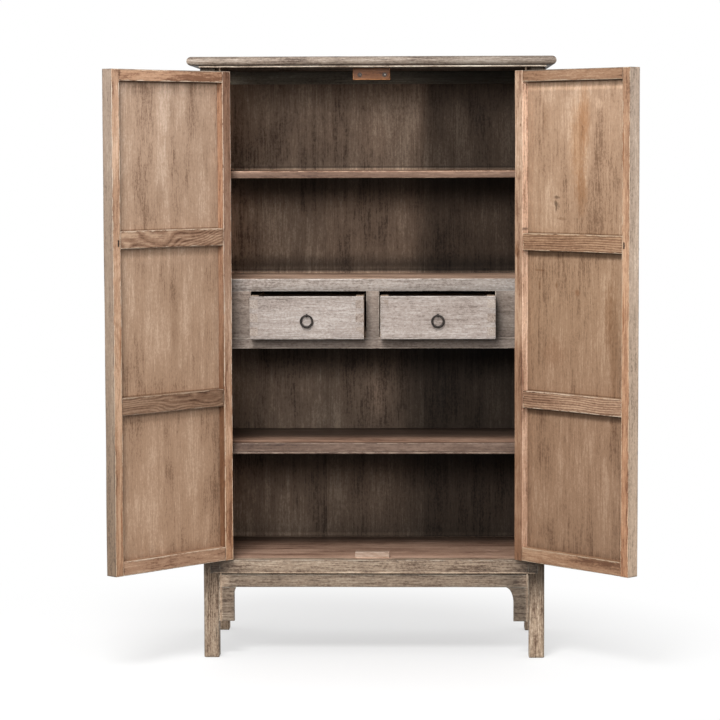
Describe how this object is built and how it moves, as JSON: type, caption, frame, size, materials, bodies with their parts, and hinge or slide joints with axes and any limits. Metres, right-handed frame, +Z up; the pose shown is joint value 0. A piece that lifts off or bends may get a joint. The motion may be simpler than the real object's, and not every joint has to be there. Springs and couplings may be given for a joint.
{
  "type": "trastero cabinet",
  "caption": "Tall weathered wooden cabinet on bracketed legs, with framed doors swung open on pivot pins, shelves, drawers with ring pulls and a round-edged top.",
  "frame": {"origin": "on the floor under the middle of the whole cabinet as stored, doors open", "axes": "+Z up, +Y from the doors to the back, +X to the right as seen from the front"},
  "size_m": [1.531, 0.8698, 1.8],
  "materials": {
    "weathered_wood": "weathered grey-brown, waxed matt",
    "inner_wood": "dark brown stain, matt",
    "shelf_wood": "reddish brown, satin",
    "grey_wood": "rubbed grey-beige paint wash, matt",
    "pale_wood": "bare, matt",
    "door_frame_wood": "orange-brown, waxed satin",
    "door_panel_wood": "light brown, waxed satin",
    "door_batten_wood": "brown, open grain, waxed satin",
    "drawer_box_wood": "bare, matt",
    "iron": "blackened, slightly worn",
    "steel": "dull"
  },
  "bodies": {
    "carcass": {"leg_front_left": "weathered_wood", "leg_front_right": "weathered_wood", "leg_rear_left": "weathered_wood", "leg_rear_right": "weathered_wood", "floor_board": "shelf_wood", "bottom_rail_front": "weathered_wood", "bottom_rails": "weathered_wood", "upper_rails": "inner_wood", "side_panels": "inner_wood", "back_boards": "inner_wood", "apron_front": "weathered_wood", "bracket_front_left": "weathered_wood", "bracket_front_right": "weathered_wood", "aprons_side": "weathered_wood", "brackets_side": "weathered_wood", "shelf_upper": "shelf_wood", "shelf_lower": "shelf_wood", "shelf_lower_lip": "shelf_wood", "shelf_cleats": "inner_wood", "drawer_case_stiles": "grey_wood", "drawer_case_rails": "grey_wood", "drawer_case_boards": "shelf_wood", "drawer_divider": "inner_wood", "drawer_runners": "inner_wood", "door_stop_upper": "shelf_wood", "door_stop_lower": "pale_wood", "catch_discs": "steel", "top_frame_front": "weathered_wood", "top_frame_rear": "weathered_wood", "top_frame_ends": "weathered_wood", "top_panel": "weathered_wood"},
    "door_left": {"door_left_hinge_stile": "door_frame_wood", "door_left_free_stile": "door_frame_wood", "door_left_rails": "door_frame_wood", "door_left_panel": "door_panel_wood", "door_left_battens": "door_batten_wood", "door_left_pins": "door_frame_wood", "door_left_eye": "iron"},
    "drawer_left": {"drawer_left_front": "grey_wood", "drawer_left_sides": "grey_wood", "drawer_left_floor": "drawer_box_wood", "drawer_left_back": "drawer_box_wood", "drawer_left_eye": "iron"},
    "door_right": {"door_right_hinge_stile": "door_frame_wood", "door_right_free_stile": "door_frame_wood", "door_right_rails": "door_frame_wood", "door_right_panel": "door_panel_wood", "door_right_battens": "door_batten_wood", "door_right_pins": "door_frame_wood", "door_right_eye": "iron"},
    "drawer_right": {"drawer_right_front": "grey_wood", "drawer_right_sides": "grey_wood", "drawer_right_floor": "drawer_box_wood", "drawer_right_back": "drawer_box_wood", "drawer_right_eye": "iron"},
    "ring_door_left": {"door_left_ring": "iron"},
    "ring_drawer_left": {"drawer_left_ring": "iron"},
    "ring_door_right": {"door_right_ring": "iron"},
    "ring_drawer_right": {"drawer_right_ring": "iron"}
  },
  "joints": [
    {"name": "door_left_hinge", "type": "hinge", "parent": "carcass", "child": "door_left", "pos_m": [-0.453, -0.08061, 1.028], "axis": [0, 0, -1], "range_deg": [-132.7, 1.5]},
    {"name": "door_right_hinge", "type": "hinge", "parent": "carcass", "child": "door_right", "pos_m": [0.453, -0.08061, 1.028], "axis": [0, 0, 1], "range_deg": [-132.7, 1.5]},
    {"name": "drawer_left_slide", "type": "slide", "parent": "carcass", "child": "drawer_left", "axis": [0, -1, 0], "range_m": [-0.068, 0.2]},
    {"name": "drawer_right_slide", "type": "slide", "parent": "carcass", "child": "drawer_right", "axis": [0, -1, 0], "range_m": [-0.068, 0.2]},
    {"name": "ring_door_left_swing", "type": "hinge", "parent": "door_left", "child": "ring_door_left", "pos_m": [-0.75594, -0.38753, 1.25997], "axis": [0.6782, 0.7349, 0], "range_deg": [-6.5, 165]},
    {"name": "ring_door_right_swing", "type": "hinge", "parent": "door_right", "child": "ring_door_right", "pos_m": [0.75594, -0.38753, 1.25094], "axis": [0.6782, -0.7349, 0], "range_deg": [-6.5, 165]},
    {"name": "ring_drawer_left_swing", "type": "hinge", "parent": "drawer_left", "child": "ring_drawer_left", "pos_m": [-0.2003, -0.05011, 1.02951], "axis": [-1, 0, 0], "range_deg": [-6.5, 165]},
    {"name": "ring_drawer_right_swing", "type": "hinge", "parent": "drawer_right", "child": "ring_drawer_right", "pos_m": [0.193, -0.05011, 1.02951], "axis": [-1, 0, 0], "range_deg": [-6.5, 165]}
  ]
}
